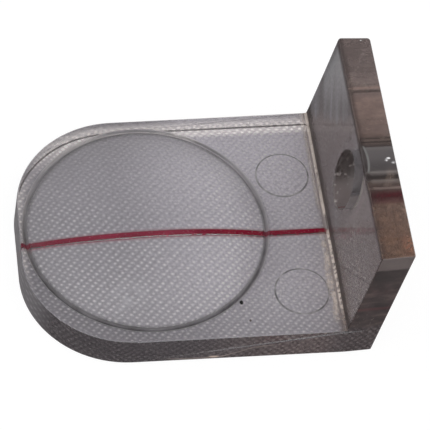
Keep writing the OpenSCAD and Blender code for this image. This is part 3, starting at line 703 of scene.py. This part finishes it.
    # painted glow: an emission round the rim, and on the dots between the lens and the flange, stands in for the light
    # that the cut edge of clear plastic gathers
    glow = n.math("MULTIPLY", n.math("MULTIPLY", rim, where), n.math("ADD", n.math("MULTIPLY", raw, 0.42), 0.15))
    glow = n.math("ADD", glow, n.math("MULTIPLY", n.math("MULTIPLY", right, dots), 0.17))
    diff = n("ShaderNodeBsdfPrincipled", {"Base Color": col, "Roughness": 0.55, "Normal": bump, "Specular IOR Level": 0.3, "Emission Color": (1.0, 0.940, 0.915, 1), "Emission Strength": glow})
    # seen very obliquely, through the sides: a darker painted copy of the underside, mixed with clear glass
    dim_c = n.mix(n.math("MULTIPLY", dots, 1.3, clamp=True), n.mix(smooth(n, px, 0.002, 0.019), (0.085, 0.075, 0.080), (0.15, 0.125, 0.125)), (0.50, 0.46, 0.48))
    dim = n("ShaderNodeBsdfDiffuse", {"Color": dim_c})
    glass = n("ShaderNodeBsdfPrincipled", {"Base Color": (1, 1, 1, 1), "Roughness": 0.06, "IOR": 1.49, "Transmission Weight": 1.0})
    steep = n("ShaderNodeMixShader", {0: 0.38, 1: dim.outputs[0], 2: glass.outputs[0]})
    geo = n("ShaderNodeNewGeometry")
    cosi = n.math("ABSOLUTE", n.vmath("DOT_PRODUCT", geo.outputs["Incoming"], geo.outputs["True Normal"]))
    tir = n("ShaderNodeMapRange", {"Value": cosi, "From Min": 0.72, "From Max": 0.76, "To Min": 1.0, "To Max": 0.0}).outputs[0]
    fac = n.math("MULTIPLY", tir, geo.outputs["Backfacing"])
    mix = n("ShaderNodeMixShader", {0: fac, 1: diff.outputs[0], 2: steep.outputs[0]})
    n("ShaderNodeOutputMaterial", {"Surface": mix.outputs[0]})
    return mat


def red_paint():
    mat, nt = nodes_of("red_paint")
    n = N(nt)
    co = n("ShaderNodeTexCoord").outputs["Object"]
    v = n("ShaderNodeTexNoise", {"Vector": n("ShaderNodeMapping", {"Vector": co, "Scale": (700.0, 2600.0, 1500.0)}).outputs[0], "Scale": 1.0, "Detail": 4.0}).outputs["Fac"]
    col = n.ramp(v, [(0.25, (0.20, 0.004, 0.026)), (0.55, (0.33, 0.008, 0.042)), (0.8, (0.47, 0.03, 0.08))])
    px = n("ShaderNodeSeparateXYZ", {"Vector": co}).outputs["X"]
    col = n.mix(n.math("MULTIPLY", smooth(n, px, -0.010, -0.005), smooth(n, px, 0.003, 0.007, 0.30, 0.0)), col, (0.56, 0.12, 0.18))
    col = n.mix(smooth(n, px, 0.004, 0.009, 0.0, 0.55), col, (0.52, 0.006, 0.045))
    fleck = n("ShaderNodeTexNoise", {"Vector": co, "Scale": 4300.0, "Detail": 1.0}).outputs["Fac"]
    col = n.mix(n.math("MULTIPLY", n.math("SUBTRACT", fleck, 0.62, clamp=True), 3.5, clamp=True), col, (0.58, 0.28, 0.32))
    bump = n("ShaderNodeBump", {"Height": v, "Strength": 0.4, "Distance": 0.00002}).outputs[0]
    rough = n.math("ADD", n.math("MULTIPLY", v, 0.25), 0.45)
    # the paint touches the plastic, so its surface adds no reflection of its own
    bsdf = n("ShaderNodeBsdfPrincipled", {"Base Color": col, "Roughness": rough, "Specular IOR Level": 0.0, "Normal": bump})
    n("ShaderNodeOutputMaterial", {"Surface": bsdf.outputs[0]})
    return mat


def pin_edge():
    mat, nt = nodes_of("pin_mark_edge")
    n = N(nt)
    co = n("ShaderNodeTexCoord").outputs["Object"]
    v = n("ShaderNodeTexNoise", {"Vector": co, "Scale": 700.0, "Detail": 3.0}).outputs["Fac"]
    col = n.ramp(v, [(0.35, (0.26, 0.255, 0.265)), (0.5, (0.48, 0.47, 0.49)), (0.65, (0.78, 0.76, 0.79))])
    bsdf = n("ShaderNodeBsdfPrincipled", {"Base Color": col, "Roughness": 0.4})
    n("ShaderNodeOutputMaterial", {"Surface": bsdf.outputs[0]})
    return mat


body.data.materials.clear()
MATS = [top_faces("clear_plastic", 0.0, 0.25, 0.62), stipple(), pin_edge(), edge_faces(), fillet(),
        top_faces("lens_rim", 0.30, 0.4, 0.62), flange_top(), flange_face(), hole_wall()]
for m in MATS:
    body.data.materials.append(m)
for f in body.data.polygons:
    c, nz = f.center / MM, f.normal
    r_lens, r_hole = math.hypot(c.x, c.y), math.hypot(c.y, c.z - HOLE_Z)
    on_flange = c.x > FX - 0.02 and c.z > T - 0.02
    k = 0
    if c.z < PIN_D + 0.02 and nz.z < -0.9:
        k = 1
    elif c.x > FX - 0.3 and r_hole < HOLE_R + 0.16 and c.z > 5.0 and abs(nz.x) < 0.97:
        k = 8
    elif FX - ROOT_R - 0.01 < c.x < FX + 0.03 and T - 0.001 < c.z < T + ROOT_R + 0.01 and -0.995 < nz.x < -0.02 and nz.z > 0.02:
        k = 4
    elif LENS_R - 0.28 < r_lens < LENS_R + 0.33 and T - 0.25 < c.z < T + 0.03:
        k = 5
    elif abs(nz.y) > 0.6 or (nz.x < -0.6 and c.z < T - 0.02 and c.x < 0):
        k = 3
    elif c.z > H - 0.25 and nz.z > 0.5:
        k = 6
    elif on_flange or (nz.x > 0.6 and c.x > END - 0.25):
        k = 7
    for s in (-1, 1):
        if abs(math.hypot(c.x - PIN_X, c.y - s * PIN_Y) - PIN_R) < 0.2 and 0.001 < c.z < PIN_D + 0.01 and abs(nz.z) < 0.99:
            k = 2
    f.material_index = k
line.data.materials.clear()
line.data.materials.append(red_paint())

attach(body, "root")
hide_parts("cursor_body")
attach(line, "root")
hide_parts("hairline_fill")

# ---------------------------------------------------------------- stage: floor, light, camera
bm = bmesh.new()
for x, y in ((-1.5, -1.5), (1.5, -1.5), (1.5, 1.5), (-1.5, 1.5)):
    bm.verts.new((x, y, -0.00008))
bm.verts.ensure_lookup_table()
bm.faces.new(bm.verts)
floor = new_object("floor", bm)
fm, fnt = nodes_of("floor_paper")
n = N(fnt)
lp = n("ShaderNodeLightPath")
fco = n("ShaderNodeTexCoord").outputs["Object"]
fg = n("ShaderNodeTexNoise", {"Vector": fco, "Scale": 900.0, "Detail": 3.0}).outputs["Fac"]
seen = n.mix(fg, (0.97, 0.97, 0.97), (0.99, 0.99, 0.99))
thru = n.mix(fg, (0.34, 0.33, 0.335), (0.38, 0.37, 0.375))
fcol = n.mix(lp.outputs["Is Camera Ray"], thru, seen)
fb = n("ShaderNodeBsdfDiffuse", {"Color": fcol})
fe = n("ShaderNodeEmission", {"Color": (1.0, 1.0, 1.0, 1), "Strength": 1.04})
fx = n("ShaderNodeMixShader", {0: n.math("MULTIPLY", lp.outputs["Is Camera Ray"], 0.88), 1: fb.outputs[0], 2: fe.outputs[0]})
under = n("ShaderNodeNewGeometry").outputs["Backfacing"]
close = n.math("MULTIPLY", lp.outputs["Is Diffuse Ray"], n.math("LESS_THAN", lp.outputs["Ray Length"], 0.0004))
clear = n("ShaderNodeBsdfTransparent", {"Color": (1.0, 1.0, 1.0, 1)})
fy = n("ShaderNodeMixShader", {0: n.math("MAXIMUM", under, close), 1: fx.outputs[0], 2: clear.outputs[0]})
n("ShaderNodeOutputMaterial", {"Surface": fy.outputs[0]})
floor.data.materials.append(fm)

scene = bpy.context.scene
world = bpy.data.worlds.new("studio")
scene.world = world
world.use_nodes = True
wn = world.node_tree
wn.nodes.clear()
n = N(wn)
wco = n("ShaderNodeTexCoord").outputs["Generated"]
sep = n("ShaderNodeSeparateXYZ", {"Vector": wco})
sky = n.ramp(sep.outputs["Z"], [(0.0, (0.40, 0.39, 0.39)), (0.20, (0.65, 0.64, 0.64)), (0.50, (1.15, 1.14, 1.15)), (1.0, (1.25, 1.24, 1.26))])
# a darker part of the room, where the level faces would mirror it to this viewpoint
dark = n.vmath("DOT_PRODUCT", wco, (0.226, 0.648, 0.727))
dark = n("ShaderNodeMapRange", {"Value": dark, "From Min": 0.62, "From Max": 0.93, "To Min": 1.0, "To Max": 0.22}, interpolation_type="SMOOTHSTEP").outputs[0]
sc = n.vmath("SCALE", sky)
sc.node.inputs["Scale"].default_value = 1.0
n.nt.links.new(dark, sc.node.inputs["Scale"])
sky = sc
lp = n("ShaderNodeLightPath")
wcol = n.mix(lp.outputs["Is Camera Ray"], sky, (1.0, 1.0, 1.0))
bg = n("ShaderNodeBackground", {"Color": wcol, "Strength": 1.0})
n("ShaderNodeOutputWorld", {"Surface": bg.outputs[0]})

cam_data = bpy.data.cameras.new("camera")
cam = bpy.data.objects.new("camera", cam_data)
scene.collection.objects.link(cam)
scene.camera = cam
CAM_AT = (-0.0272653, -0.0917661, 0.1059568)
cam.matrix_world = Matrix(((0.998186, 0.057319, -0.018443, CAM_AT[0]),
                           (-0.060202, 0.9561, -0.286792, CAM_AT[1]),
                           (0.001195, 0.287381, 0.957815, CAM_AT[2]),
                           (0, 0, 0, 1)))
cam_data.sensor_width = 36.0
cam_data.lens = 99.76118
cam_data.clip_start, cam_data.clip_end = 0.005, 10.0
# the lens shift belongs to this viewpoint only: it goes back to nothing when the camera is moved elsewhere
home = bpy.data.objects.new("viewpoint", None)
scene.collection.objects.link(home)
home.matrix_world = cam.matrix_world
home.empty_display_size = 0.01
for attr, val in (("shift_x", 0.6393247), ("shift_y", 1.3517513)):
    curve = cam_data.driver_add(attr)
    for m in list(curve.modifiers):
        curve.modifiers.remove(m)
    curve.keyframe_points.clear()
    drv = curve.driver
    drv.type = "SUM"
    for kind in ("LOC_DIFF", "ROTATION_DIFF"):
        var = drv.variables.new()
        var.name = kind.lower()
        var.type = kind
        var.targets[0].id = cam
        var.targets[1].id = home
    curve.keyframe_points.add(2)
    for key, (x, v) in zip(curve.keyframe_points, ((0.0, val), (0.02, 0.0))):
        key.co = (x, v)
        key.interpolation = "CONSTANT"
    curve.update()

scene.view_settings.view_transform = "Standard"
scene.view_settings.look = "None"
scene.view_settings.exposure = 0.0

bpy.context.view_layer.update()
